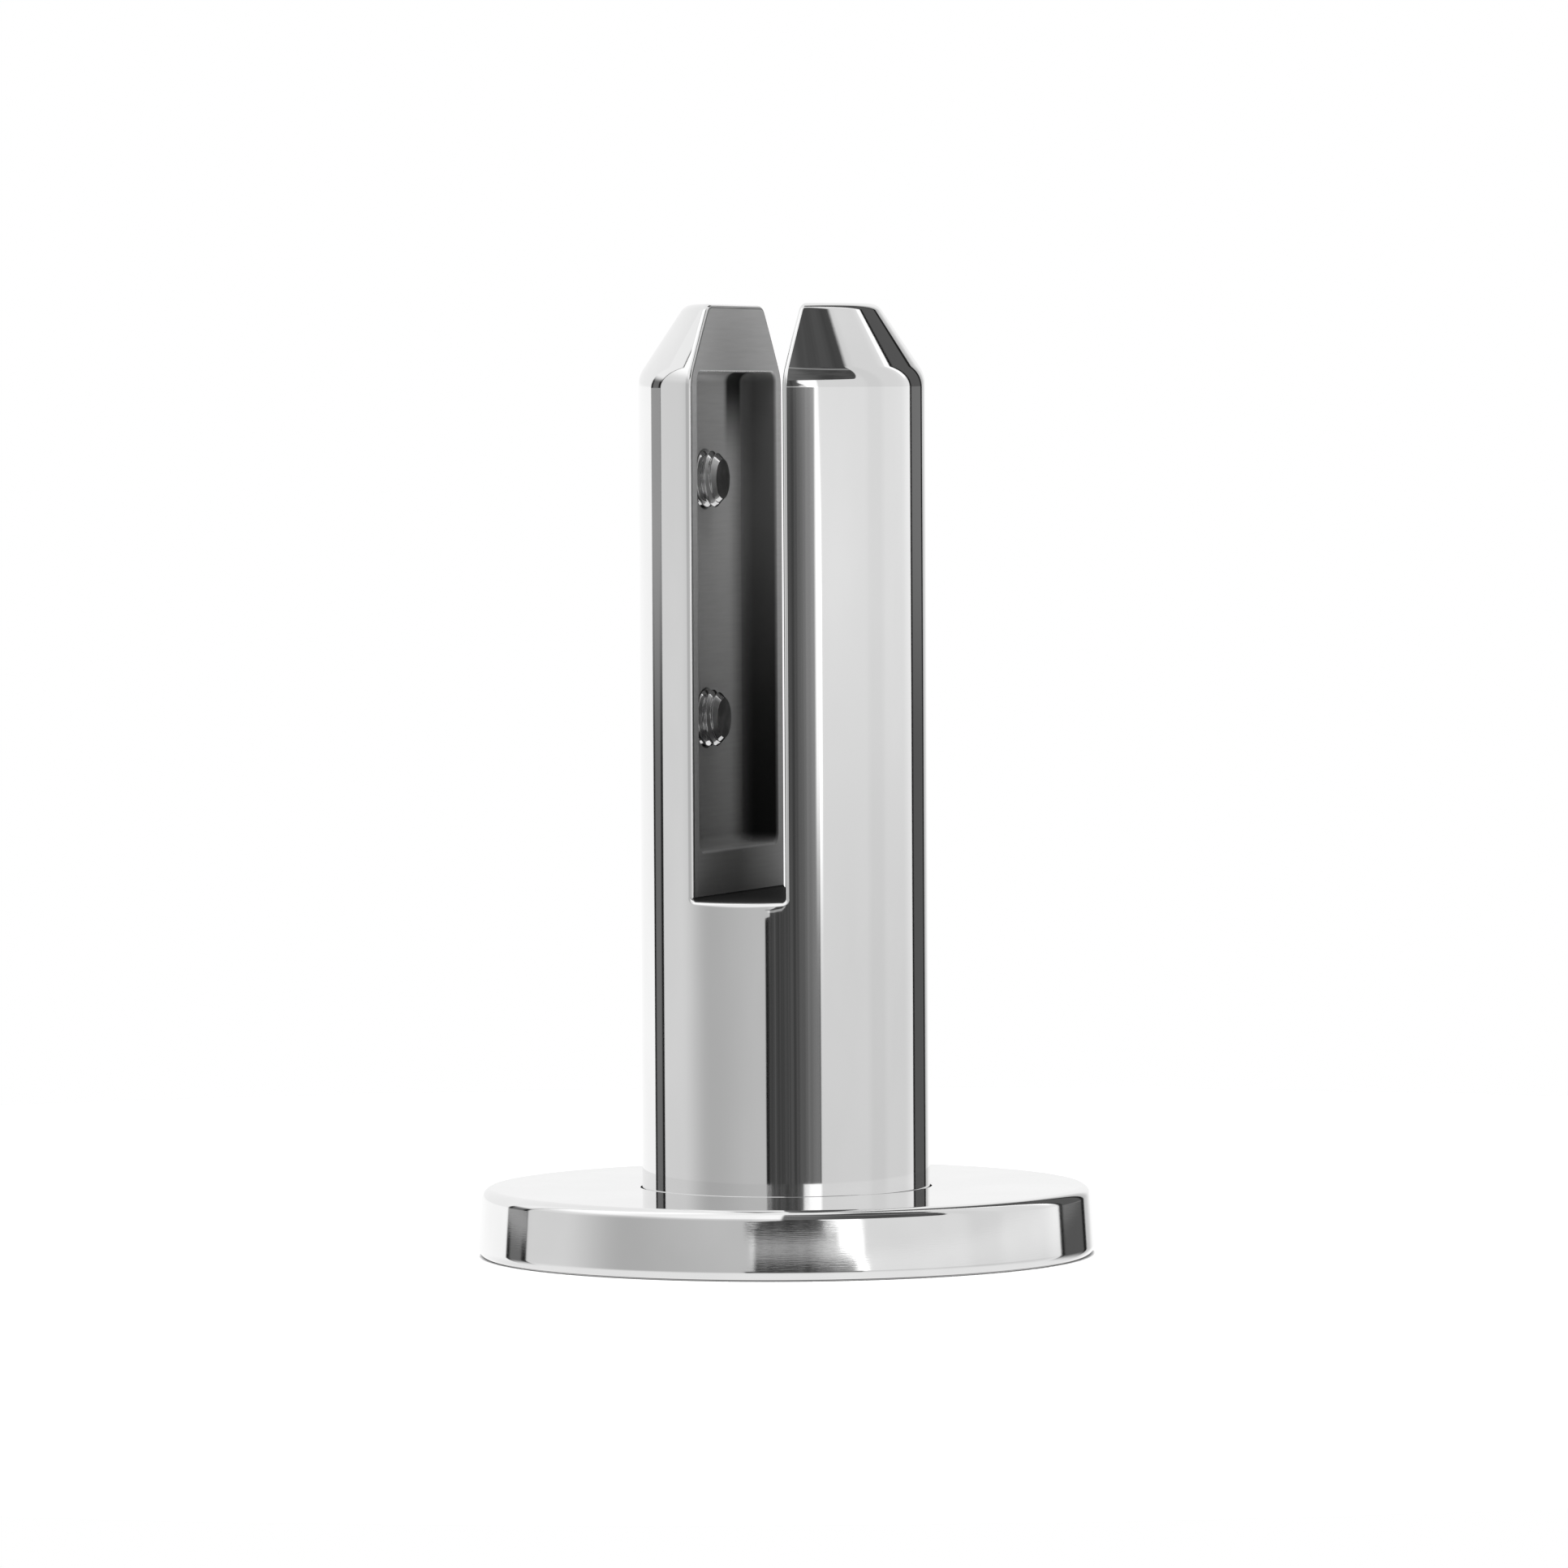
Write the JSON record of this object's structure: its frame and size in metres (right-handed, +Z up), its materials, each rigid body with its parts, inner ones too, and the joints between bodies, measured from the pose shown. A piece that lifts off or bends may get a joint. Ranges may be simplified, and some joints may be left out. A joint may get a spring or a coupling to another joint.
{
  "type": "glass spigot",
  "caption": "Round polished stainless glass spigot: slotted post with a tapered head, set screws in one jaw, a base flange for floor anchors and a lift-up cover ring.",
  "frame": {"origin": "centre of the base flange's underside, on the floor", "axes": "+Z up along the post; X across the slot, with the set screws in the -X jaw; Y along the glass"},
  "size_m": [0.109, 0.109, 0.1675],
  "materials": {
    "polished_stainless": "polished",
    "polished_cover": "polished",
    "screw_steel": "satin"
  },
  "bodies": {
    "spigot": {"spigot_body": "polished_stainless"},
    "cover": {"cover_ring": "polished_cover"},
    "upper_screw": {"upper_set_screw": "screw_steel"},
    "lower_screw": {"lower_set_screw": "screw_steel"}
  },
  "joints": [
    {"name": "cover_lift", "type": "slide", "parent": "spigot", "child": "cover", "axis": [0, 0, 1], "range_m": [0, 0.14]},
    {"name": "upper_screw_feed", "type": "slide", "parent": "spigot", "child": "upper_screw", "axis": [1, 0, 0], "range_m": [-0.0034, 0.0027]},
    {"name": "lower_screw_feed", "type": "slide", "parent": "spigot", "child": "lower_screw", "axis": [1, 0, 0], "range_m": [-0.0034, 0.0027]}
  ]
}
